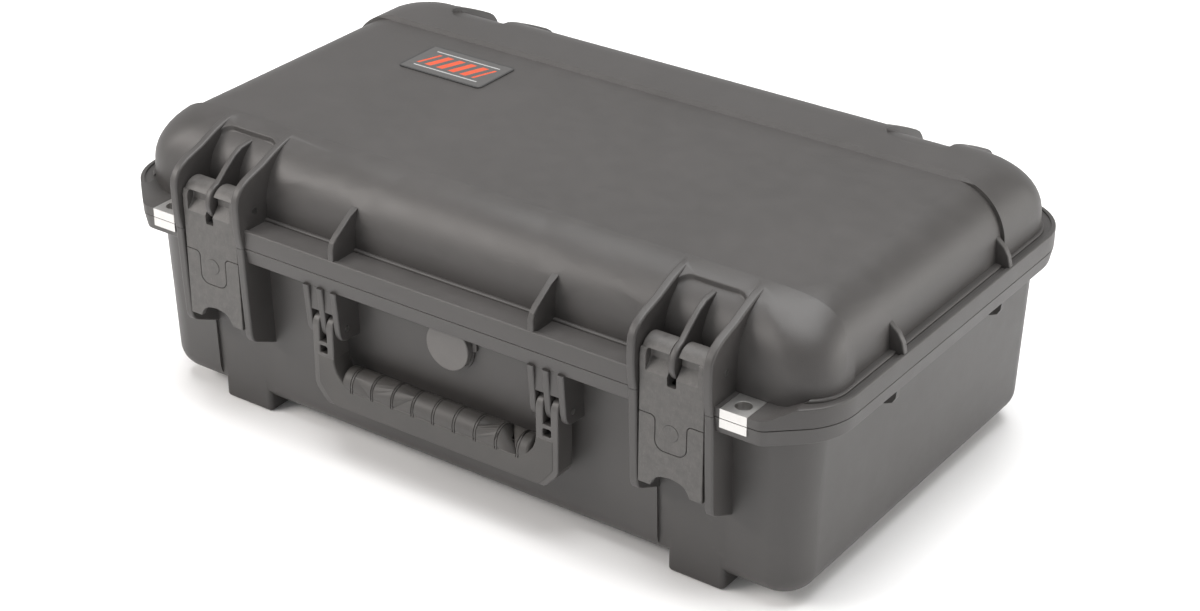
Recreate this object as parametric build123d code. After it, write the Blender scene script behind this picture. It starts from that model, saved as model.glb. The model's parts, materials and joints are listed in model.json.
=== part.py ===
from build123d import *
import math
import os

os.makedirs("parts", exist_ok=True)

# ------------------------------------------------------------------ driving dimensions (mm)
# Frame: X along the length, front face towards -Y, Z up, z = 0 under the feet.
Z_PART = 142.7          # parting plane between base and lid
GAP = 0.15              # half of the closed gap at the parting plane
Z_BODY = 8.0            # underside of the base body, above the feet
Z_TOP = 206.0           # top of the lid's front and rear bands
PANEL_DROP = 2.6        # the centre panel lies this much lower
PANEL_Y0, PANEL_Y1 = -118.0, 74.0

BASE_HX, BASE_HY = 260.7, 153.9   # half sizes of the base at its underside
BASE_R = 23.0                     # vertical corner radius of the base
BASE_EDGE = 18.0                  # rounding along the bottom
BASE_DRAFT = 2.0
BASE_WALL = 4.0

LID_HX = 273.3                    # half length of the lid wall at the parting plane
LID_Y0, LID_Y1 = -157.5, 150.2    # front and rear of the lid wall there
LID_R = 29.0
LID_EDGE = 38.0                   # rounding around the top
LID_DRAFT = 3.0
LID_WALL = 4.0

FL_X = 281.0                      # flange half length
FL_Y0, FL_Y1 = -179.6, 167.5      # flange front and rear
FL_R = 45.0
FL_FRONT = -128.0                 # where the front corner's arc leaves the end
FL_SLANT = 48.0                   # sweep of that arc before the slanted front corner, degrees
FL_Z0, FL_Z1 = 131.0, 155.9       # flange underside and lip top
FL_FLOOR = 154.7
LIP = 3.2                         # width of the raised lip
BASE_LEAN = 2.2                   # the base's flange leans in by this much towards its underside

LX = 184.5                        # latch and hinge centre in X
EAR_IN, EAR_OUT = 24.1, 30.3      # ear inner and outer faces, from LX
BAY_Y = -162.5                    # flange front inside a latch bay
CH_X0, CH_X1 = 159.5, 210.0       # recessed wall channel below a latch
CH_D = 2.0
LP_Y, LP_Z = -168.2, 166.5        # latch pin
LP_R = 2.0
TP_Y, TP_Z = -172.0, 116.0        # trigger pin
TP_R = 1.5
LEV_W = 23.2                      # half width of the latch
LEV_Y = -180.0                    # latch front face
HG_Y, HG_Z = 175.7, 142.7         # hinge axis
HG_R = 7.8                        # hinge knuckle radius
HP_R = 2.5                        # hinge pin radius
HD_Y, HD_Z = -169.2, 102.8        # handle pin
HD_R = 2.0
RIBS = ((77.1, 82.1), (88.6, 93.6), (100.2, 105.2))
PRONGS = ((82.5, 88.2), (94.0, 99.8))
PAD_X, PAD_Y, PAD_R = 228.0, -169.0, 5.2   # padlock hole
VALVE_X, VALVE_Z = 1.5, 112.0
RUN = 0.06                        # radial clearance of a running pin
FIT = 0.03                        # radial clearance of a held pin


def px(pts, x0, x1):
    """Plate lying across X: outline in (y, z), from x0 to x1."""
    f = make_face(Polyline(*pts, close=True))
    return extrude(Plane((x0, 0, 0), x_dir=(0, 1, 0), z_dir=(1, 0, 0)) * f, x1 - x0)


def py(pts, y0, y1):
    """Plate lying across Y: outline in (x, z), from y0 to y1."""
    f = make_face(Polyline(*pts, close=True))
    return extrude(Plane((0, y1, 0), x_dir=(1, 0, 0), z_dir=(0, -1, 0)) * f, y1 - y0)


def box(x0, x1, y0, y1, z0, z1):
    return Pos((x0 + x1) / 2, (y0 + y1) / 2, (z0 + z1) / 2) * Box(x1 - x0, y1 - y0, z1 - z0)


def cx(y, z, r, x0, x1):
    """Cylinder along X."""
    return Pos((x0 + x1) / 2, y, z) * Rot(0, 90, 0) * Cylinder(r, x1 - x0)


def cy(x, z, r, y0, y1):
    return Pos(x, (y0 + y1) / 2, z) * Rot(90, 0, 0) * Cylinder(r, y1 - y0)


def cz(x, y, r, z0, z1):
    return Pos(x, y, (z0 + z1) / 2) * Cylinder(r, z1 - z0)


def mir(s):
    return mirror(s, about=Plane.YZ)


def one(s):
    """Largest solid of a result, so that every node is one clean solid."""
    return max(s.solids(), key=lambda k: k.volume)


# ------------------------------------------------------------------ outer forms
def base_body(off, z0, edge):
    s = Pos(0, 0, z0) * RectangleRounded(2 * (BASE_HX - off), 2 * (BASE_HY - off), BASE_R - off)
    b = extrude(s, Z_PART - GAP - z0, taper=-BASE_DRAFT)
    return fillet(b.edges().group_by(Axis.Z)[0], edge)


def lid_plan(off, z, r):
    """Plan outline of the lid, drawn in by off."""
    return Pos(0, (LID_Y0 + LID_Y1) / 2, z) * RectangleRounded(2 * (LID_HX - off), LID_Y1 - LID_Y0 - 2 * off, r)


def lid_body(off, edge):
    """Drafted wall with a quarter-round top whose plan corners keep their radius all the way up."""
    k = math.tan(math.radians(LID_DRAFT))
    z0, z1 = Z_PART + GAP, Z_TOP - off - edge
    d0 = (z1 - z0) * k
    wall = extrude(lid_plan(off, z0, LID_R - off), z1 - z0, taper=LID_DRAFT)
    secs = []
    for a in (0, 10, 22, 34, 46, 58, 69, 79, 86, 90):
        t = math.radians(a)
        d = off + d0 + edge * (1 - math.cos(t)) + edge * math.sin(t) * k * (1 - a / 90) * 0.5
        secs.append(lid_plan(d, z1 + edge * math.sin(t), LID_R - off - d0 + a / 45))
    return wall + loft(secs)


def flange2d(inset=0.0):
    """Rounded rear corners; the front corners are an arc that runs into a slanted edge."""
    r = FL_R - inset
    a = math.radians(FL_SLANT)
    kx, x1, y0, y1 = FL_X - FL_R, FL_X - inset, FL_Y0 + inset, FL_Y1 - inset
    arc = lambda cy0, t: (kx + r * math.cos(t), cy0 + r * math.sin(t))
    p1 = arc(FL_FRONT, -a)
    p0 = (p1[0] - (p1[1] - y0) * math.tan(a), y0)
    yc = FL_Y1 - FL_R
    w = [Line((0, y0), p0), Line(p0, p1), ThreePointArc(p1, arc(FL_FRONT, -a / 2), (x1, FL_FRONT)),
         Line((x1, FL_FRONT), (x1, yc)), ThreePointArc((x1, yc), arc(yc, math.pi / 4), (kx, y1)),
         Line((kx, y1), (0, y1)), Line((0, y1), (0, y0))]
    s = Sketch() + make_face(w)
    s = fillet(s.vertices().filter_by(lambda v: abs(v.X - p0[0]) < 0.5), 9.0)
    return s + mirror(s, about=Plane.YZ)


def flange(z0, z1, inset=0.0, lean=0.0):
    """The lean draws the underside in, in millimetres."""
    k = math.degrees(math.atan2(lean, z1 - z0))
    return extrude(Pos(0, 0, z0) * flange2d(inset + lean), z1 - z0, taper=-k)


def soft(s, edges, r):
    """Rounds the given edges together, with a smaller radius where the form is too tight for it."""
    edges = ShapeList(edges)
    if not edges:
        return s
    for k in (r, 0.7 * r, 0.45 * r):
        try:
            t = fillet(edges, k)
            if t.is_valid and abs(t.volume - s.volume) < 0.05 * s.volume + 500:
                return t
        except Exception:
            pass
    print("left sharp:", len(edges), "edges at", [round(v, 1) for v in edges[0].center()])
    return s


# =================================================================== BASE
base = base_body(0, Z_BODY, BASE_EDGE)
fb = flange(FL_Z0, Z_PART - GAP, lean=BASE_LEAN)
fb = soft(fb, fb.edges().group_by(Axis.Z)[0], 1.6)
fb = soft(fb, fb.edges().group_by(Axis.Z)[-1], 0.5)

adds = [fb]
cuts = []
inner2 = extrude(Pos(0, 0, Z_BODY - 1) * RectangleRounded(
    2 * (BASE_HX - CH_D), 2 * (BASE_HY - CH_D), BASE_R - CH_D), FL_Z0 - Z_BODY + 2, taper=-BASE_DRAFT)

for sx in (1, -1):
    # recessed channels in the front and rear walls, running down into the feet
    a, b = sorted((sx * CH_X0, sx * CH_X1))
    for y0, y1 in ((-175, -130), (130, 175)):
        cuts.append(box(a, b, y0, y1, 0, FL_Z0 - 0.5) - inner2)

feet = []
for sx in (1, -1):
    a, b = sorted((sx * 166.0, sx * 208.0))
    for y0, y1 in ((-152.6, -112.0), (112.0, 152.6)):
        f = box(a, b, y0, y1, 0, 34)
        f = fillet(f.edges().filter_by(Axis.Z), 3.5)
        f = fillet(f.edges().group_by(Axis.Z)[0], 2.5)
        feet.append(f)

# ears that flank each latch, on the base
ear = px([(-140, Z_PART - GAP), (-182.0, Z_PART - GAP), (-180.4, 105), (-179.0, 77.5), (-178.2, 73.6),
          (-176.6, 71.0), (-173.6, 69.0), (-156, 61.0), (-140, 60.6)], 0, EAR_OUT - EAR_IN)
ear = fillet(ear.edges().filter_by(lambda e: e.center().Y < -158 and e.center().Z < Z_PART - 2
                                   and abs(e.center().X - 3.1) > 2.5), 1.5)
for c in (LX - EAR_OUT, LX + EAR_IN):
    e = Pos(c, 0, 0) * ear
    adds += [e, mir(e)]
# catch that the trigger's hook closes on
catch = px([(-140, 112), (-162.6, 112), (-164.2, 113.6), (-164.2, 131.5), (-140, 131.5)], LX - 19, LX + 19)
adds += [catch, mir(catch)]
# handle lugs
rib = px([(-140, FL_Z0 + 1), (-179.6, FL_Z0 + 1), (-178.0, 115), (-176.9, 103), (-176.0, 98.6), (-174.0, 95.6),
          (-170.4, 94.0), (-158.7, 93.1), (-140, 92.6)], 0, 5.0)
rib = fillet(rib.edges().filter_by(lambda e: e.center().Y < -158.8 and e.center().Z < FL_Z0
                                   and abs(e.center().X - 2.5) > 2.2), 1.1)
for x0, x1 in RIBS:
    r = Pos(x0, 0, 0) * rib
    adds += [r, mir(r)]
fill = box(RIBS[0][0] + 1, RIBS[2][1] - 1, -177.2, -140, 114.5, FL_Z0 + 1)
adds += [fill, mir(fill)]
# gussets under the flange at the ends
gus = py([(255, 132), (277.2, 132), (276.4, 124), (274.2, 120.4), (269.5, 118.4), (255, 117)], -2.2, 2.2)
for y in (-69.4, 69.4):
    g = Pos(0, y, 0) * gus
    adds += [g, mir(g)]
# flat seat for the pressure valve
adds.append(cy(VALVE_X, VALVE_Z, 18.6, -158.6, -148))
adds.append(fillet(box(19.2, 22.6, -159.6, -150, 113, 119).edges().filter_by(Axis.Y), 1.2))

# hinge knuckles on the base: two to each hinge
kn = px([(150, 125), (164, 125), (171, 131.5), (178.5, 135.4), (HG_Y, HG_Z), (167, 142.5), (150, 142.5)], 0, 20.6)
for u in (-23.4, 2.8):
    k = Pos(LX + u, 0, 0) * kn
    k = k + cx(HG_Y, HG_Z, HG_R, LX + u, LX + u + 20.6)
    adds += [k, mir(k)]

base = base + feet
for c in cuts:
    base = base - c
# the feet carry the channel's surface to the ground
for f in feet:
    base = base + f
base = base + adds

# latch bays: the flange is cut back between the ears
for sx in (1, -1):
    a, b = sorted((sx * (LX - EAR_IN), sx * (LX + EAR_IN)))
    base = base - box(a, b, -200, BAY_Y, 130.4, 150)
    # room for the lid's hinge ears and middle rib beside the knuckles
    for u0, u1 in ((-EAR_OUT - 0.5, -23.4), (-2.8, 2.8), (23.4, EAR_OUT + 0.5)):
        a, b = sorted((sx * (LX + u0), sx * (LX + u1)))
        base = base - box(a, b, 166.6, 190, 120, 150)
        base = base - cx(HG_Y, HG_Z, HG_R + 0.9, a, b)
# keep the knuckles clear of the lid ears
cavity = base_body(BASE_WALL, Z_BODY + BASE_WALL, 15.0)
cavity = cavity + extrude(cavity.faces().sort_by(Axis.Z)[-1], 20)
base = base - cavity
base = base - cy(VALVE_X, VALVE_Z, 7.1, -170, -140)
for sx in (1, -1):
    base = base - cz(sx * PAD_X, PAD_Y, 5.8, 120, 150)
    a, b = sorted((sx * 217.8, sx * 237.0))
    base = base - box(a, b, -185, -157.2, 136.3, 150)
    # bores
    a, b = sorted((sx * (RIBS[0][0] - 1), sx * (RIBS[2][1] + 1)))
    base = base - cx(HD_Y, HD_Z, HD_R + FIT, a, b)
    a, b = sorted((sx * (LX - 40), sx * (LX + 40)))
    base = base - cx(HG_Y, HG_Z, HP_R + RUN, a, b)
base_shell = one(base)

# =================================================================== LID
lid = lid_body(0, LID_EDGE)
lid35 = lid_body(3.4, LID_EDGE - 3.4)
lid60 = lid_body(6.2, LID_EDGE - 6.2)
lid40 = lid_body(LID_WALL, LID_EDGE - LID_WALL)


def lid_rim(e):
    """True for an edge of a pocket's rim, where its wall meets the outside of the lid."""
    c = e.center()
    side_ = abs(abs(abs(c.X) - LX) - 25.6) < 0.3
    back = abs(c.Y + 133.5) < 0.3 or abs(c.Y - 103) < 0.3
    corner = abs(abs(abs(c.X) - LX) - 22.7) < 1.5 and (abs(c.Y + 136.4) < 1.5 or abs(c.Y - 105.9) < 1.5)
    return (side_ or back or corner) and c.Z > rim_z(c.Y) - 1.2


def rim_z(y):
    """Height of the lid's outside at y, over its front and rear roundings."""
    w = (LID_Y1 - LID_Y0) / 2 - (Z_TOP - LID_EDGE - Z_PART - GAP) * math.tan(math.radians(LID_DRAFT)) - LID_EDGE
    d = max(0.0, abs(y - (LID_Y0 + LID_Y1) / 2) - w)
    return Z_TOP - LID_EDGE + math.sqrt(max(0.0, LID_EDGE ** 2 - d * d))


# centre panel, running out through both ends
lid_in = lid_body(PANEL_DROP, LID_EDGE - PANEL_DROP)
ps = PANEL_DROP + 0.3
lid = lid - (px([(PANEL_Y0, 150), (PANEL_Y1, 150), (PANEL_Y1, Z_TOP - PANEL_DROP), (PANEL_Y1 + ps, Z_TOP + 0.3),
                 (PANEL_Y1 + ps, 220), (PANEL_Y0 - 1, 220), (PANEL_Y0 - 1, Z_TOP + 0.3), (PANEL_Y0, Z_TOP - PANEL_DROP)],
                -300, 300) - lid_in)

# raised foot along the lid's wall
foot = extrude(lid_plan(-1.3, FL_FLOOR - 2, LID_R + 1.3), 4.0)
foot = fillet(foot.edges().group_by(Axis.Z)[-1], 1.5)
lid = lid + foot

# pockets on top, over the latches at the front and the hinges at the rear
pk = []
for sx in (1, -1):
    a, b = sorted((sx * (LX - 25.6), sx * (LX + 25.6)))
    p = box(a, b, -200, -133.5, FL_FLOOR - 0.2, 225)
    p = fillet(p.edges().filter_by(Axis.Z).group_by(Axis.Y)[-1], 10)
    q = box(a, b, 103, 200, FL_FLOOR - 0.2, 225)
    q = fillet(q.edges().filter_by(Axis.Z).group_by(Axis.Y)[0], 18)
    pk += [p, q]
for p in pk:
    t = p - lid35
    t = soft(t, t.edges().filter_by(lambda e: e.center().Z > 170 and e.center().Z < Z_TOP - 2
                                    and not (abs(e.center().X) - LX > -20 and abs(e.center().X) - LX < 20
                                             and e.center().Z < 190)), 1.8)
    lid = lid - t
lid = soft(lid, lid.edges().filter_by(lambda e: e.center().Z > 186 and abs(abs(e.center().X) - LX) < 26.5
                                      and lid_rim(e)), 1.0)

fl = flange(Z_PART + GAP, FL_Z1)
fl = soft(fl, fl.edges().group_by(Axis.Z)[0], 0.5)
fl = soft(fl, fl.edges().group_by(Axis.Z)[-1], 1.0)
fl = fl - (flange(FL_FLOOR, 170, inset=LIP))
fl = soft(fl, fl.faces().sort_by(Axis.Z)[-1].inner_wires()[0].edges(), 0.6)
lid = lid + fl
for sx in (1, -1):
    # latch bays: the flange is cut back between the ears
    a, b = sorted((sx * (LX - EAR_IN), sx * (LX + EAR_IN)))
    lid = lid - box(a, b, -200, BAY_Y, 130, FL_Z1 + 0.5)
    # the flange steps back over the base's knuckles
    for u0, u1 in ((-EAR_IN, -2.3), (2.3, EAR_IN)):
        a, b = sorted((sx * (LX + u0), sx * (LX + u1)))
        lid = lid - box(a, b, 166.3, 200, 130, FL_Z1 + 0.5)
# low ground around the padlock holes
for sx in (1, -1):
    c = py([(LX + EAR_OUT - 1, 149.1), (244, 149.1), (250, 150.2), (262, 155.9), (262, 170), (LX + EAR_OUT - 1, 170)],
           -190, -140)
    if sx < 0:
        c = mir(c)
    lid = lid - (c - lid_body(0, LID_EDGE))

adds = []
TE = EAR_OUT - EAR_IN
# ears that flank each latch, running over the rounded edge into the pocket's rim
front_ear = [(-130, 147), (-130, Z_PART + GAP), (-182.0, Z_PART + GAP), (-183.8, 152), (-184.5, 162), (-184.5, 174),
             (-183.6, 179.4), (-181.0, 184.0), (-177.0, 187.4), (-171.6, 190.2), (-163, 193.0), (-156.5, 195.0),
             (-150.5, 197.6), (-145, 200.0), (-140, 201.9), (-135.0, 203.5), (-130, 204.7), (-125, 205.5),
             (-118.5, 206.0), (-118.5, 190)]
fe = px(front_ear, 0, TE)
fe = soft(fe, fe.edges().filter_by(lambda e: e.center().Y < -138 and e.center().Z > Z_PART + 1
                                   and abs(e.center().X - TE / 2) > 2.5), 1.6)
for u in (-EAR_OUT, EAR_IN):
    e = Pos(LX + u, 0, 0) * fe
    adds += [e, mir(e)]
# middle rib that the latch's slot straddles
rb = px([(-171.5, 179.2), (-163, 186.4), (-154, 193.2), (-147, 196.6), (-136, 198.0), (-136, 150), (-166, 153.4)],
        LX - 2.3, LX + 2.3)
rb = rb + cx(LP_Y, LP_Z, 13.2, LX - 2.3, LX + 2.3)
rb = soft(rb, rb.edges().filter_by(lambda e: e.center().Y < -138 and e.center().Z > 154
                                   and abs(e.center().X - LX) > 2.2), 1.3)
adds += [rb, mir(rb)]
# front gussets
gf = px([(-150, 150), (-179.2, 150), (-179.2, 163.2), (-177.6, 167.8), (-174, 171.4), (-160.4, 180.4), (-148, 186)],
        -2.3, 2.3)
gf = fillet(gf.edges().filter_by(lambda e: e.center().Y < -158 and e.center().Z > 151 and abs(e.center().X) > 1), 0.9)
for x in (-80.0, 80.0):
    adds.append(Pos(x, 0, 0) * gf)
gs = py([(262, 150), (279.6, 150), (280.2, 156.5), (278.4, 163.5), (275.0, 169), (268.6, 174.6), (262, 178)],
        -2.3, 2.3)
gs = fillet(gs.edges().filter_by(lambda e: e.center().X > 268 and e.center().Z > 151 and abs(e.center().Y) > 1), 0.9)
for y in (-69.4, 69.4):
    g = Pos(0, y, 0) * gs
    adds += [g, mir(g)]
# hinge ears at the rear, with a middle rib between the base's knuckles
rear_ear = [(104, 147), (104, 205.6), (110, 205.9), (118, 205.2), (124, 203.5), (130, 201.2), (140, 196.9), (150, 192.4),
            (158, 188.6), (163.5, 185.0), (167.4, 180.2), (170.4, 173.5), (175, 165.5), (180.5, 159), (184.1, 153.5),
            (184.5, 150.5), (184.2, 147.0)]
n = 10
for i in range(n + 1):
    t = math.radians(10 - i * 190.0 / n)
    rear_ear.append((HG_Y + 8.2 * math.cos(t), HG_Z + 8.2 * math.sin(t)))
rear_ear += [(166.8, Z_PART + GAP), (150, Z_PART + GAP)]
for u0, u1 in ((-EAR_OUT, -EAR_IN), (-2.3, 2.3), (EAR_IN, EAR_OUT)):
    if u0 == -2.3:
        pts = [(110, 147), (110, 194.0), (130, 192.0), (142, 187.5), (151, 182.0), (158, 176.0), (164, 169), (171, 162.5),
               (178, 156.5), (182.6, 151), (183.9, 146)] + rear_ear[17:]
        e = px(pts, LX + u0, LX + u1)
    else:
        e = px(rear_ear, LX + u0, LX + u1)
    adds += [e, mir(e)]
lid = lid + adds

boxes = []
for sx in (1, -1):
    a, b = sorted((sx * (LX - 31), sx * (LX + 31)))
    boxes += [box(a, b, -200, -127, 130, 230), box(a, b, 97, 200, 130, 230)]
cav = lid40
for b in boxes:
    cav = cav - (b - lid60)
cav = cav + extrude(lid_plan(LID_WALL, Z_PART + GAP - 5, LID_R - LID_WALL), 5.2)
# the centre panel keeps its thickness too
cav = cav - box(-300, 300, PANEL_Y0 - 4, PANEL_Y1 + 4, Z_TOP - PANEL_DROP - LID_WALL, 230)
lid = lid - cav

# gasket groove
GS_X, GS_Y, GS_R, GS_W = 275.0, 158.5, 32.0, 5.0


def ring(w, z0, z1):
    o = RectangleRounded(2 * GS_X + w, 2 * GS_Y + w, GS_R + w / 2)
    i = RectangleRounded(2 * GS_X - w, 2 * GS_Y - w, GS_R - w / 2)
    return extrude(Pos(0, 0, z0) * (o - i), z1 - z0)


lid = lid - ring(GS_W, Z_PART, Z_PART + 4.4)
for sx in (1, -1):
    lid = lid - cz(sx * PAD_X, PAD_Y, 5.8, 130, 160)
    a, b = sorted((sx * 217.8, sx * 237.0))
    lid = lid - (box(a, b, -185, -157.4, 130, 149.3) - box(a, b, -162.0, -150, 130, 148.0))
    a, b = sorted((sx * (LX - 40), sx * (LX + 40)))
    lid = lid - cx(LP_Y, LP_Z, LP_R + FIT, a, b)
    lid = lid - cx(HG_Y, HG_Z, HP_R + FIT, a, b)
lid_shell = one(lid)

# =================================================================== small parts on the shells
lid_gasket = ring(GS_W - 0.3, Z_PART - 0.05, Z_PART + 4.2)


def pad_plate(z0, z1, y1):
    p = box(217.9, 236.9, FL_Y0 - 0.15, y1, z0, z1)
    return p - cz(PAD_X, PAD_Y, PAD_R, z0 - 1, z1 + 1)


pb = pad_plate(136.35, Z_PART - GAP, -157.3)
pl = pad_plate(Z_PART + GAP, 149.2, -157.5) - box(210, 245, -162.1, -150, 130, 148.1)
padlock_plate_base_right, padlock_plate_base_left = pb, mir(pb)
padlock_plate_lid_right, padlock_plate_lid_left = pl, mir(pl)

hp = cx(HG_Y, HG_Z, HP_R, LX - EAR_OUT - 0.3, LX + EAR_OUT + 0.3)
hinge_pin_right, hinge_pin_left = hp, mir(hp)
lp = cx(LP_Y, LP_Z, LP_R, LX - EAR_OUT - 0.2, LX + EAR_OUT + 0.2)
latch_pin_right, latch_pin_left = lp, mir(lp)

# ------------------------------------------------------------------ latch lever
sk = Pos(0, 148) * Rectangle(2 * LEV_W, 38.0)
tongue = Pos(0, 119) * Rectangle(22.4, 26.0)
lev2d = sk + tongue
lev2d = fillet(lev2d.vertices().group_by(Axis.Y)[0], 6.5)
lev2d = fillet([v for v in lev2d.vertices() if abs(v.Y - 129) < 0.2 and abs(v.X) < 15], 3.6)


def wall_y(sk2, y0, y1):
    pl_ = Plane((0, y1, 0), x_dir=(1, 0, 0), z_dir=(0, -1, 0))
    return extrude(pl_ * sk2, y1 - y0)


lever = wall_y(lev2d, LEV_Y, LEV_Y + 4.6)
lever = soft(lever, lever.faces().sort_by(Axis.Y)[0].edges(), 0.6)
drum = cx(LP_Y, LP_Z, 11.2, -LEV_W, LEV_W)
drum = soft(drum, drum.edges().filter_by(GeomType.CIRCLE), 1.2)
# the wings carry the drum down to the plate
wing = px([(LEV_Y, 152), (LEV_Y - 0.4, 160), (LEV_Y - 0.4, 168), (-179.2, 172.0), (-168.2, 172), (-168.2, 152)],
          -LEV_W, LEV_W)
wing = soft(wing, wing.edges().filter_by(lambda e: abs(e.center().X) > LEV_W - 0.1 and e.center().Y < LEV_Y + 0.5), 0.6)
lever = lever + drum + wing
lever = lever + box(-11.2, 11.2, LEV_Y + 1, -167.2, 112.5, 131)
for u in (13.2, 19.0):
    for s in (1, -1):
        a, b = sorted((s * u, s * (u + 2.0)))
        lever = lever + px([(-176, 131.6), (-168.5, 133), (-168.5, 150), (-166, 158), (-176, 160)], a, b)
# windows beside the slot: deep under the drum, with a floor that ramps out to the front
for s in (1, -1):
    a, b = sorted((s * 3.0, s * 18.6))
    w = px([(-184, 157.4), (-180.6, 157.4), (-178.2, 160.4), (-174.2, 165.2), (-174.2, 170.8), (-177.2, 172.2), (-184, 172.2)],
           a, b)
    w = soft(w, w.edges().filter_by(lambda e: abs(abs(e.center().X) - 18.6) < 0.1 and e.center().Y > -181), 0.9)
    lever = lever - w
lever = lever - (box(-3.3, 3.3, -185, -150, 153.2, 180))
lever = lever - fillet(box(-3.3, 3.3, -185, -170, 151.6, 156).edges().filter_by(Axis.Y), 1.2)
lever = lever - cx(LP_Y, LP_Z, 13.6, -3.3, 3.3)
lever = lever - cx(LP_Y, LP_Z, LP_R + RUN, -30, 30)
lever = lever - cx(TP_Y, TP_Z, TP_R + FIT, -30, 30)
lever = lever - box(-4.2, 4.2, -176.4, -160, 111.4, 120.6)
lever = lever - cy(0, 120.2, 5.6, -190, -178.4)
lever = one(lever)
tongue_end = lever & box(-13, 13, LEV_Y - 1, LEV_Y + 5, 105, 114)

# ------------------------------------------------------------------ trigger
tri2d = Pos(0, (129.0 + 79.0) / 2) * Rectangle(2 * LEV_W, 50.0)
tri2d = tri2d - offset(lev2d, 0.4)
notch = make_face(Polyline((-14.5, 70), (-14.5, 78.6), (-12.6, 82.6), (-10.4, 85.4), (-7, 87.2), (0, 88.4),
                           (7, 87.2), (10.4, 85.4), (12.6, 82.6), (14.5, 78.6), (14.5, 70), close=True))
tri2d = tri2d - notch
trigger = one(wall_y(tri2d, LEV_Y, LEV_Y + 3.6))
trigger = soft(trigger, trigger.faces().sort_by(Axis.Y)[0].edges(), 0.5)
# the lever's lower edge is relieved along the path of the trigger's top edge
top = trigger & box(-30, 30, LEV_Y - 1, LEV_Y + 4, 119, 130)
for k in (1.5, 3, 4.5, 6, 7.5, 9, 10.5, 12, 13.5):
    lever = lever - Pos(0, TP_Y, TP_Z + 0.22) * Rot(-k, 0, 0) * Pos(0, -TP_Y, -TP_Z) * top
lever = one(lever)
lug = [(-177, 121.5), (-172, 121.2), (-168.6, 119), (-167.2, 116), (-167.2, 112.0), (-166.2, 111.6), (-164.7, 111.6),
       (-164.7, 107.8), (-168.4, 102.4), (-177, 99)]
for a, b in ((-18.6, -11.8), (11.8, 18.6)):
    trigger = trigger + px(lug, a, b)
# the edge below the tongue leans back so that it clears the tongue when pulled
for k in (1.5, 3, 4.5, 6, 7.5, 9, 10.5, 12, 13.5):
    trigger = trigger - Pos(0, TP_Y, TP_Z - 0.25) * Rot(k, 0, 0) * Pos(0, -TP_Y, -TP_Z) * tongue_end
trigger = trigger - px([(-178.6, 105.0), (-176.2, 103.2), (-176.2, 106.2), (-178.6, 106.2)], -11.0, 11.0)
# stiffening ribs along the sides of the plate
for s in (1, -1):
    a, b = sorted((s * 21.0, s * LEV_W))
    trigger = trigger + px([(-177, 125), (-173.4, 122), (-173.4, 86), (-177, 82)], a, b)
trigger = trigger - cx(TP_Y, TP_Z, TP_R + RUN, -30, 30)
trigger = one(trigger)

tp = cx(TP_Y, TP_Z, TP_R, -18.4, 18.4)
pts = [(1.75, -3.6), (2.7, -3.6)]
for i in range(6):
    z = -3.6 + i * 1.2
    pts += [(3.2, z + 0.35), (3.2, z + 0.85), (2.7, z + 1.2)]
pts += [(1.75, 3.6)]
sp = revolve(Plane.XZ * make_face(Polyline(*pts, close=True)), Axis.Z)
spring = Pos(0, TP_Y, TP_Z) * Rot(0, 90, 0) * sp
plug = cy(0, 120.2, 5.5, LEV_Y - 0.35, -178.5)
plug = fillet(plug.edges().group_by(Axis.Y)[0], 0.3)

R = Pos(LX, 0, 0)
L = Pos(-LX, 0, 0)
latch_lever_right, latch_lever_left = R * lever, L * lever
latch_trigger_right, latch_trigger_left = R * trigger, L * trigger
trigger_pin_right, trigger_pin_left = R * tp, L * tp
trigger_spring_right, trigger_spring_left = R * spring, L * spring
latch_plug_right, latch_plug_left = R * plug, L * plug

# ------------------------------------------------------------------ handle
H_F, H_B = -178.0, -162.2     # handle front and back faces
arm = py([(PRONGS[0][0], HD_Z), (PRONGS[1][1], HD_Z), (PRONGS[1][1], 60.5), (96.5, 55.5), (PRONGS[0][0], 55.5)],
         H_F, H_B)
arm = arm + cx(HD_Y, HD_Z, 8.8, PRONGS[0][0], PRONGS[1][1])
rim = py([(PRONGS[1][1], 75), (PRONGS[1][1], 60.0), (98.0, 56.0), (91.5, 48.6), (88.5, 46.6), (84, 46.6), (92, 62),
          (92, 75)], H_F, H_B)
arm = arm + rim
# fork around the lug's middle rib, and the small window below it
arm = arm - box(88.2, 94.0, -190, -150, 92.0, 115)
arm = arm - cx(HD_Y, HD_Z, 11.2, 88.2, 94.0)
slot = fillet(box(88.2, 94.0, -190, -150, 90.8, 96).edges().filter_by(Axis.Y), 1.0)
win = fillet(box(88.0, 94.2, -190, -150, 83.6, 89.6 - 0.6).edges().filter_by(Axis.Y), 1.2)
arm = arm - win
arm = soft(arm, arm.edges().filter_by(lambda e: e.center().Y < H_F + 0.1 or (e.center().Y > H_B - 0.1)), 1.0)
core =box(-84, 84, -172.5, -164.5, 58.5, 68.5)
frame = arm + mir(arm) + core

GX = 96.3     # outer limit of the grip on each arm
grip2d = make_face(Polyline((82.5, 81.5), (GX, 81.5), (GX, 60.5), (94.2, 57.4), (88.0, 49.6), (85.4, 47.2), (82.4, 46.4),
                            (-82.4, 46.4), (-85.4, 47.2), (-88.0, 49.6), (-94.2, 57.4), (-GX, 60.5), (-GX, 81.5),
                            (-82.5, 81.5), (-82.0, 77), (-80.0, 72), (-76.0, 67), (-71, 63.6), (-64, 62), (64, 62),
                            (71, 63.6), (76.0, 67), (80.0, 72), (82.0, 77), close=True))
grip = wall_y(grip2d, H_F - 0.4, -169.0)
grip = soft(grip, grip.faces().sort_by(Axis.Y)[0].edges(), 1.2)
roll = cx(-168.4, 64.6, 9.9, -77, 77)
roll = fillet(roll.edges(), 3.0)
side = py([(82.5, 81.5), (90, 81.5), (90, 58), (70, 58), (72, 64), (76, 67), (80, 72), (82, 77)], -170, H_B)
grip = grip + roll + side + mir(side)
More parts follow.
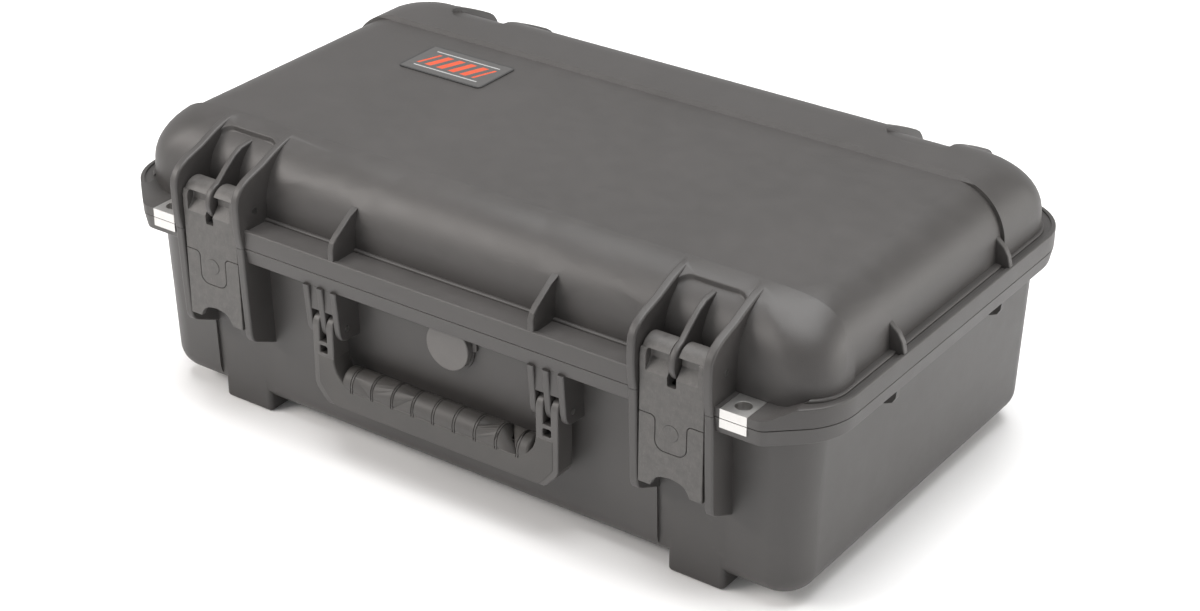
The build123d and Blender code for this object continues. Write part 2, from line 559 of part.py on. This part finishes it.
for i in range(9):
    xg = -68 + i * 17.0
    for d in (-0.9, 0.9):
        g = cx(-168.4, 64.6, 12.0, xg + d - 0.3, xg + d + 0.3) - cx(-168.4, 64.6, 9.35, xg + d - 1, xg + d + 1)
        grip = grip - (g - box(xg - 3, xg + 3, -185, -150, 50, 60.5))
frame = frame - cx(HD_Y, HD_Z, HD_R + RUN, 70, 110) - cx(HD_Y, HD_Z, HD_R + RUN, -110, -70)
frame = one(frame)
grip = grip - frame
handle_grip = one(grip)
handle_frame = frame
hd = cx(HD_Y, HD_Z, HD_R, RIBS[0][0] - 0.2, RIBS[2][1] + 0.2)
handle_pin_right, handle_pin_left = hd, mir(hd)

# ------------------------------------------------------------------ pressure valve
cap = cy(VALVE_X, VALVE_Z, 17.0, -163.4, -158.7)
cap = fillet(cap.edges().group_by(Axis.Y)[0], 1.0)
cap = cap + cy(VALVE_X, VALVE_Z, 6.9, -160, -144.5)
cap = cap - cy(VALVE_X, VALVE_Z, 3.6, -160.8, -140)
cap = cap - (cy(VALVE_X, VALVE_Z, 11.6, -160.3, -158) - cy(VALVE_X, VALVE_Z, 8.8, -160.3, -158))
valve_cap = one(cap)
orr = Pos(VALVE_X, -159.5, VALVE_Z) * Rot(90, 0, 0) * Torus(10.2, 0.75)
valve_oring = orr
nut = Pos(VALVE_X, -147.6, VALVE_Z) * Rot(90, 0, 0) * extrude(RegularPolygon(11.0, 6), 2.3, both=True)
nut = nut - cy(VALVE_X, VALVE_Z, 6.95, -160, -140)
valve_nut = nut
valve_membrane = cy(VALVE_X, VALVE_Z, 3.55, -160.75, -160.05)

# ------------------------------------------------------------------ badge plate
bz = Z_TOP - PANEL_DROP
badge_plate = extrude(Pos(-140.5, 31.5, bz + 0.02) * RectangleRounded(73.0, 43.0, 4.0), 0.8)

NODES = {}
for name in ("base_shell", "lid_shell", "lid_gasket",
             "padlock_plate_base_left", "padlock_plate_base_right",
             "padlock_plate_lid_left", "padlock_plate_lid_right",
             "hinge_pin_left", "hinge_pin_right", "latch_pin_left", "latch_pin_right",
             "latch_lever_left", "latch_lever_right", "latch_trigger_left", "latch_trigger_right",
             "trigger_pin_left", "trigger_pin_right", "trigger_spring_left", "trigger_spring_right",
             "latch_plug_left", "latch_plug_right",
             "handle_frame", "handle_grip", "handle_pin_left", "handle_pin_right",
             "valve_cap", "valve_oring", "valve_nut", "valve_membrane", "badge_plate"):
    NODES[name] = globals()[name]

for name, shape in NODES.items():
    export_step(shape, os.path.join("parts", name + ".step"))
    bb = shape.bounding_box()
    print(name, len(shape.solids()), "vol %.0f" % shape.volume,
          "min", [round(v, 1) for v in (bb.min.X, bb.min.Y, bb.min.Z)],
          "max", [round(v, 1) for v in (bb.max.X, bb.max.Y, bb.max.Z)])
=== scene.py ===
import json
import math

import bpy
from mathutils import Matrix, Vector

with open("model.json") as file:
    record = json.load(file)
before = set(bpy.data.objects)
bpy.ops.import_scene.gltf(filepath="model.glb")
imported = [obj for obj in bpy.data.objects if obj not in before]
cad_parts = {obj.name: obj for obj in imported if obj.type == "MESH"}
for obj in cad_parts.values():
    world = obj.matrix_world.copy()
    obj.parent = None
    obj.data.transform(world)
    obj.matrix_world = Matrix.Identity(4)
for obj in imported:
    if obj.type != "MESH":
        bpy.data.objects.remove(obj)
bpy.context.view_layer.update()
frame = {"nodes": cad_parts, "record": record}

nodes = frame["nodes"]
scene = bpy.context.scene


# ------------------------------------------------------------------ node helpers
class Mat:
    """A small builder for node materials on object coordinates (metres)."""

    def __init__(self, name):
        self.m = bpy.data.materials.new(name)
        self.m.use_nodes = True
        self.nt = self.m.node_tree
        self.b = self.nt.nodes["Principled BSDF"]
        self.out = self.nt.nodes["Material Output"]
        self.tc = self.nt.nodes.new("ShaderNodeTexCoord")

    def set(self, **kw):
        names = {"rough": "Roughness", "metal": "Metallic", "spec": "Specular IOR Level", "ior": "IOR",
                 "coat": "Coat Weight", "coat_rough": "Coat Roughness", "sheen": "Sheen Weight",
                 "sheen_rough": "Sheen Roughness", "aniso": "Anisotropic"}
        for k, v in kw.items():
            self.b.inputs[names[k]].default_value = v
        return self

    def coords(self, scale=(1, 1, 1), rot=(0, 0, 0), loc=(0, 0, 0)):
        mp = self.nt.nodes.new("ShaderNodeMapping")
        mp.inputs["Scale"].default_value = scale
        mp.inputs["Rotation"].default_value = rot
        mp.inputs["Location"].default_value = loc
        self.nt.links.new(self.tc.outputs["Object"], mp.inputs["Vector"])
        return mp.outputs["Vector"]

    def noise(self, scale, detail=4.0, rough=0.5, distortion=0.0, vec=None):
        n = self.nt.nodes.new("ShaderNodeTexNoise")
        n.inputs["Scale"].default_value = scale
        n.inputs["Detail"].default_value = detail
        n.inputs["Roughness"].default_value = rough
        n.inputs["Distortion"].default_value = distortion
        self.nt.links.new(vec or self.tc.outputs["Object"], n.inputs["Vector"])
        return n.outputs["Fac"]

    def voronoi(self, scale, feature="F1", vec=None, rnd=1.0):
        n = self.nt.nodes.new("ShaderNodeTexVoronoi")
        n.feature = feature
        n.inputs["Scale"].default_value = scale
        n.inputs["Randomness"].default_value = rnd
        self.nt.links.new(vec or self.tc.outputs["Object"], n.inputs["Vector"])
        return n.outputs["Distance"]

    def ramp(self, fac, *stops):
        r = self.nt.nodes.new("ShaderNodeValToRGB")
        els = r.color_ramp.elements
        while len(els) < len(stops):
            els.new(0.5)
        for e, (p, c) in zip(els, stops):
            e.position = p
            e.color = (c, c, c, 1) if isinstance(c, (int, float)) else (*c, 1)
        self.nt.links.new(fac, r.inputs["Fac"])
        return r.outputs["Color"]

    def math(self, op, a, b, c=None):
        n = self.nt.nodes.new("ShaderNodeMath")
        n.operation = op
        for i, v in enumerate((a, b, c)):
            if v is None:
                continue
            if isinstance(v, (int, float)):
                n.inputs[i].default_value = v
            else:
                self.nt.links.new(v, n.inputs[i])
        return n.outputs[0]

    def mix(self, fac, a, b, mode="MIX"):
        n = self.nt.nodes.new("ShaderNodeMix")
        n.data_type = "RGBA"
        n.blend_type = mode
        for i, v in ((0, fac), (6, a), (7, b)):
            if isinstance(v, (int, float)):
                n.inputs[i].default_value = v
            elif isinstance(v, tuple):
                n.inputs[i].default_value = (*v, 1)
            else:
                self.nt.links.new(v, n.inputs[i])
        return n.outputs[2]

    def color(self, src):
        if isinstance(src, tuple):
            self.b.inputs["Base Color"].default_value = (*src, 1)
        else:
            self.nt.links.new(src, self.b.inputs["Base Color"])
        return self

    def rough(self, src):
        self.nt.links.new(src, self.b.inputs["Roughness"])
        return self

    def bump(self, *layers, base_normal=None):
        """layers: (height output, distance in metres, strength)."""
        prev = base_normal
        for h, dist, st in layers:
            n = self.nt.nodes.new("ShaderNodeBump")
            n.inputs["Distance"].default_value = dist
            n.inputs["Strength"].default_value = st
            self.nt.links.new(h, n.inputs["Height"])
            if prev is not None:
                self.nt.links.new(prev, n.inputs["Normal"])
            prev = n.outputs["Normal"]
        self.nt.links.new(prev, self.b.inputs["Normal"])
        return self

    def xyz(self):
        s = self.nt.nodes.new("ShaderNodeSeparateXYZ")
        self.nt.links.new(self.tc.outputs["Object"], s.inputs[0])
        return s.outputs


def shell_plastic(name, c0, c1, rough=0.46):
    """Moulded charcoal plastic: fine spark-eroded grain, faint flow marks and rubbed spots."""
    m = Mat(name)
    big = m.noise(9.0, 4.0, 0.55)
    mid = m.noise(70.0, 5.0, 0.6)
    fine = m.noise(2600.0, 2.0, 0.5)
    grain = m.voronoi(2100.0)
    scr = m.noise(1.0, 6.0, 0.65, 0.4, vec=m.coords((40, 420, 160), rot=(0.3, 0.2, 0.5)))
    scuff = m.ramp(scr, (0.66, 0.0), (0.74, 1.0))
    col = m.mix(m.ramp(big, (0.32, 0.0), (0.68, 1.0)), c0, c1)
    col = m.mix(m.math("MULTIPLY", m.ramp(mid, (0.4, 0.0), (0.7, 1.0)), 0.16), col, tuple(min(1, 1.5 * v) for v in c1))
    col = m.mix(m.math("MULTIPLY", scuff, 0.10), col, (0.16, 0.155, 0.15))
    col = m.mix(m.math("MULTIPLY", m.ramp(grain, (0.15, 1.0), (0.55, 0.0)), 0.10), col, tuple(0.6 * v for v in c0))
    m.color(col)
    r = m.math("ADD", m.math("MULTIPLY", mid, 0.14), rough - 0.07)
    r = m.math("ADD", r, m.math("MULTIPLY", fine, 0.06))
    r = m.math("ADD", r, m.math("MULTIPLY", scuff, 0.06))
    m.rough(r)
    m.bump((grain, 0.00006, 0.55), (fine, 0.00004, 0.5), (m.noise(24.0, 2.0), 0.0006, 0.10))
    m.set(spec=0.5)
    return m.m


def latch_plastic(name):
    """Glass-filled nylon: mottled lighter blooms and short fibre streaks."""
    m = Mat(name)
    blot = m.noise(150.0, 6.0, 0.66, 0.3)
    blot2 = m.noise(330.0, 4.0, 0.6)
    fib = m.noise(1.0, 3.0, 0.6, 1.2, vec=m.coords((1500, 900, 300), rot=(0.4, 0.9, 0.2)))
    f = m.math("ADD", m.math("MULTIPLY", blot, 0.7), m.math("MULTIPLY", blot2, 0.3))
    col = m.mix(m.ramp(f, (0.36, 0.0), (0.66, 1.0)), (0.046, 0.0435, 0.0415), (0.074, 0.0695, 0.066))
    col = m.mix(m.math("MULTIPLY", m.ramp(fib, (0.55, 0.0), (0.72, 1.0)), 0.28), col, (0.14, 0.133, 0.127))
    m.color(col)
    r = m.math("ADD", m.math("MULTIPLY", f, 0.25), 0.40)
    m.rough(r)
    m.bump((fib, 0.00008, 0.5), (m.noise(1900.0, 3.0, 0.6), 0.00006, 0.5), (blot, 0.0004, 0.12))
    m.set(spec=0.5)
    return m.m


def grip_plastic(name):
    m = Mat(name)
    big = m.noise(28.0, 4.0, 0.6)
    speck = m.voronoi(700.0)
    fine = m.noise(2200.0, 3.0, 0.6)
    col = m.mix(m.ramp(big, (0.35, 0.0), (0.7, 1.0)), (0.036, 0.0335, 0.0315), (0.050, 0.0465, 0.0435))
    col = m.mix(m.math("MULTIPLY", m.ramp(speck, (0.05, 1.0), (0.16, 0.0)), 0.35), col, (0.11, 0.105, 0.10))
    m.color(col)
    m.rough(m.math("ADD", m.math("MULTIPLY", big, 0.22), 0.42))
    m.bump((fine, 0.00006, 0.6), (speck, 0.00010, 0.2))
    m.set(spec=0.45)
    return m.m


def brushed(name, base=(0.78, 0.77, 0.75), dirc=(2600, 60, 60), rough=0.26):
    m = Mat(name)
    lines = m.noise(1.0, 5.0, 0.7, 0.0, vec=m.coords(dirc))
    spot = m.noise(160.0, 4.0)
    col = m.mix(lines, tuple(0.86 * v for v in base), base)
    col = m.mix(m.math("MULTIPLY", m.ramp(spot, (0.5, 0.0), (0.75, 1.0)), 0.2), col, tuple(0.7 * v for v in base))
    m.color(col)
    m.rough(m.math("ADD", m.math("MULTIPLY", lines, 0.16), rough - 0.06))
    m.bump((lines, 0.00003, 0.5))
    m.set(metal=1.0)
    return m.m


def rubber(name, c=(0.018, 0.018, 0.018)):
    m = Mat(name)
    n = m.noise(240.0, 4.0)
    m.color(m.mix(n, c, tuple(1.8 * v for v in c)))
    m.rough(m.math("ADD", m.math("MULTIPLY", n, 0.2), 0.6))
    m.bump((m.noise(1600.0, 3.0), 0.00005, 0.5))
    return m.m


def membrane(name):
    m = Mat(name)
    w = m.voronoi(4000.0)
    m.color(m.mix(w, (0.62, 0.62, 0.6), (0.8, 0.8, 0.79)))
    m.rough(m.math("ADD", m.math("MULTIPLY", w, 0.2), 0.7))
    m.bump((w, 0.00003, 0.5))
    return m.m


def badge_mat(name):
    """Generic badge: dark field, pale outline, slanted orange-red bars with soft wear."""
    m = Mat(name)
    x, y, z = m.xyz()[:3]
    u = m.math("SUBTRACT", x, -0.1405)
    v = m.math("SUBTRACT", y, 0.0315)
    slant = m.math("ADD", u, m.math("MULTIPLY", v, -0.35))
    wave = m.math("FRACT", m.math("DIVIDE", m.math("ADD", slant, 0.2), 0.0104), 0)
    bar = m.math("GREATER_THAN", wave, 0.46)
    inx = m.math("LESS_THAN", m.math("ABSOLUTE", slant, 0), 0.0255)
    iny = m.math("LESS_THAN", m.math("ABSOLUTE", v, 0), 0.0095)
    mask = m.math("MULTIPLY", m.math("MULTIPLY", bar, inx), iny)
    line = m.math("MULTIPLY", m.math("LESS_THAN", m.math("ABSOLUTE", m.math("SUBTRACT", m.math("ABSOLUTE", v, 0), 0.0135), 0), 0.0007),
                  m.math("LESS_THAN", m.math("ABSOLUTE", u, 0), 0.028))
    ex = m.math("GREATER_THAN", m.math("ABSOLUTE", u, 0), 0.0350)
    ey = m.math("GREATER_THAN", m.math("ABSOLUTE", v, 0), 0.0200)
    edge = m.math("MAXIMUM", ex, ey)
    n = m.noise(260.0, 4.0)
    field = m.mix(n, (0.052, 0.050, 0.049), (0.072, 0.070, 0.068))
    col = m.mix(mask, field, m.mix(n, (0.42, 0.045, 0.014), (0.56, 0.075, 0.022)))
    col = m.mix(line, col, (0.30, 0.30, 0.30))
    col = m.mix(edge, col, (0.02, 0.02, 0.02))
    m.color(col)
    m.rough(m.math("ADD", m.math("MULTIPLY", n, 0.12), 0.30))
    m.bump((m.noise(900.0, 3.0), 0.00004, 0.3), (edge, 0.0002, 0.4))
    return m.m


shell = shell_plastic("case_plastic", (0.036, 0.0335, 0.032), (0.042, 0.039, 0.0375))
handle_m = shell_plastic("handle_plastic", (0.045, 0.042, 0.040), (0.053, 0.0495, 0.047), 0.42)
latch_m = latch_plastic("latch_nylon")
grip_m = grip_plastic("grip_plastic")
plate_m = brushed("padlock_plate_metal", (0.60, 0.59, 0.575), rough=0.38)
pin_m = brushed("pin_steel", (0.28, 0.275, 0.27), (60, 1500, 1500), 0.35)
spring_m = brushed("spring_steel", (0.5, 0.5, 0.49), (900, 900, 900), 0.3)
gasket_m = rubber("gasket_rubber")
valve_m = shell_plastic("valve_plastic", (0.085, 0.080, 0.077), (0.100, 0.095, 0.091), 0.5)
membrane_m = membrane("valve_membrane_cloth")
badge_m = badge_mat("badge_print")

slot_mats = {"shell": shell, "latch": latch_m, "handle": handle_m, "grip": grip_m, "plate": plate_m, "pin": pin_m,
             "spring": spring_m, "gasket": gasket_m, "valve": valve_m, "membrane": membrane_m, "badge": badge_m}
by_node = {s["node"]: s.get("material_slot") for s in frame["record"]["subparts"]}


# ------------------------------------------------------------------ carried-over CAD nodes
def smooth_group(name, degrees):
    """Geometry nodes that shade smooth and mark edges sharper than the angle."""
    g = bpy.data.node_groups.new(name, "GeometryNodeTree")
    g.interface.new_socket("Geometry", in_out="INPUT", socket_type="NodeSocketGeometry")
    g.interface.new_socket("Geometry", in_out="OUTPUT", socket_type="NodeSocketGeometry")
    gi, go = g.nodes.new("NodeGroupInput"), g.nodes.new("NodeGroupOutput")
    ang = g.nodes.new("GeometryNodeInputMeshEdgeAngle")
    cmpn = g.nodes.new("FunctionNodeCompare")
    cmpn.data_type = "FLOAT"
    cmpn.operation = "LESS_EQUAL"
    cmpn.inputs["B"].default_value = math.radians(degrees)
    sf = g.nodes.new("GeometryNodeSetShadeSmooth")
    sf.domain = "FACE"
    se = g.nodes.new("GeometryNodeSetShadeSmooth")
    se.domain = "EDGE"
    g.links.new(gi.outputs[0], sf.inputs["Geometry"])
    g.links.new(sf.outputs[0], se.inputs["Geometry"])
    g.links.new(ang.outputs["Unsigned Angle"], cmpn.inputs["A"])
    g.links.new(cmpn.outputs[0], se.inputs["Shade Smooth"])
    g.links.new(se.outputs[0], go.inputs[0])
    return g


by_angle = smooth_group("smooth_by_angle", 24.0)


def dress(o, mat, width=0.0, angle=32.0, even=False):
    me = o.data
    me.materials.clear()
    me.materials.append(mat)
    bpy.context.view_layer.objects.active = o
    if me.has_custom_normals:
        bpy.ops.mesh.customdata_custom_splitnormals_clear()
    w = o.modifiers.new("weld", "WELD")
    w.merge_threshold = 3e-6
    if width:
        dc = o.modifiers.new("flats", "DECIMATE")
        dc.decimate_type = "DISSOLVE"
        dc.angle_limit = math.radians(0.4)
        bv = o.modifiers.new("edge", "BEVEL")
        bv.width = width
        bv.segments = 2
        bv.limit_method = "ANGLE"
        bv.angle_limit = math.radians(angle)
        bv.use_clamp_overlap = True
    s = o.modifiers.new("smooth", "NODES")
    s.node_group = by_angle
    n = o.modifiers.new("flat_faces", "WEIGHTED_NORMAL")
    n.keep_sharp = True
    if even:
        n.mode = "CORNER_ANGLE"
        n.weight = 50
    else:
        n.weight = 80


EDGE_MM = {"latch_lever_left": 0.35, "latch_lever_right": 0.35, "latch_trigger_left": 0.3, "latch_trigger_right": 0.3,
           "handle_frame": 0.4, "padlock_plate_base_left": 0.3, "padlock_plate_base_right": 0.3,
           "padlock_plate_lid_left": 0.3, "padlock_plate_lid_right": 0.3, "badge_plate": 0.25}
for n, o in nodes.items():
    # the lid's large rounded corners are meshed unevenly, so its normals go by corner angle
    dress(o, slot_mats[by_node[n]], EDGE_MM.get(n, 0.0) / 1000, even=n == "lid_shell")

# ------------------------------------------------------------------ floor, light, camera
def floor_material():
    m = Mat("studio_floor")
    n = m.noise(3.0, 3.0)
    m.color(m.mix(n, (0.90, 0.90, 0.90), (0.92, 0.92, 0.92)))
    m.rough(m.math("ADD", m.math("MULTIPLY", n, 0.1), 0.7))
    m.set(spec=0.2)
    return m.m


bpy.ops.mesh.primitive_plane_add(size=40, location=(0, 0, -0.0004))
floor = bpy.context.object
floor.name = "studio_floor"
floor.data.materials.append(floor_material())

world = bpy.data.worlds.new("studio") if scene.world is None else scene.world
scene.world = world
world.use_nodes = True
wt = world.node_tree
bg = wt.nodes["Background"]
# pale studio: bright towards the horizon, dim overhead
wtc = wt.nodes.new("ShaderNodeTexCoord")
wsep = wt.nodes.new("ShaderNodeSeparateXYZ")
wramp = wt.nodes.new("ShaderNodeValToRGB")
wt.links.new(wtc.outputs["Generated"], wsep.inputs[0])
wt.links.new(wsep.outputs[2], wramp.inputs["Fac"])
wt.links.new(wramp.outputs["Color"], bg.inputs[0])
els = wramp.color_ramp.elements
els[0].position, els[0].color = 0.0, (1, 1, 1, 1)
els[1].position, els[1].color = 0.56, (0.38, 0.38, 0.38, 1)
e3 = els.new(0.9)
e3.color = (0.12, 0.12, 0.12, 1)
wramp.color_ramp.interpolation = "EASE"
bg.inputs[1].default_value = 1.0


def area(name, loc, target, size, size_y, power, color=(1, 1, 1)):
    d = bpy.data.lights.new(name, "AREA")
    d.shape = "RECTANGLE"
    d.size, d.size_y = size, size_y
    d.energy = power
    d.color = color
    o = bpy.data.objects.new(name, d)
    scene.collection.objects.link(o)
    o.location = loc
    o.rotation_euler = (Vector(target) - Vector(loc)).to_track_quat("-Z", "Y").to_euler()
    return o


area("overhead", (0.1, 0.1, 2.6), (0, 0, 0), 2.6, 2.2, 118)
area("key_left", (-1.25, -1.35, 1.15), (0, 0, 0.12), 1.3, 0.55, 30, (1.0, 0.955, 0.92))
area("right_back", (1.6, 0.75, 0.45), (0, 0, 0.08), 1.3, 0.6, 15, (1.0, 0.965, 0.93))

AZ, EL, ROLL = math.radians(35.0037), math.radians(28.3546), math.radians(0.326)
DIST, TARGET = 1.6922, Vector((0.01887, -0.01755, 0.08370))
back = Vector((math.sin(AZ) * math.cos(EL), -math.cos(AZ) * math.cos(EL), math.sin(EL)))
fwd = -back
right = fwd.cross(Vector((0, 0, 1))).normalized()
up = right.cross(fwd).normalized()
r2 = math.cos(ROLL) * right + math.sin(ROLL) * up
u2 = -math.sin(ROLL) * right + math.cos(ROLL) * up
cam_d = bpy.data.cameras.new("camera")
cam = bpy.data.objects.new("camera", cam_d)
scene.collection.objects.link(cam)
rot = Matrix((r2, u2, back)).transposed().to_4x4()
cam.matrix_world = Matrix.Translation(TARGET + back * DIST) @ rot
cam_d.sensor_fit = "HORIZONTAL"
cam_d.sensor_width = 36.0
cam_d.lens = 2474.26 / 1200.0 * 36.0
cam_d.clip_start = 0.02
cam_d.clip_end = 60
scene.camera = cam

scene.view_settings.view_transform = "Standard"
scene.view_settings.look = "None"
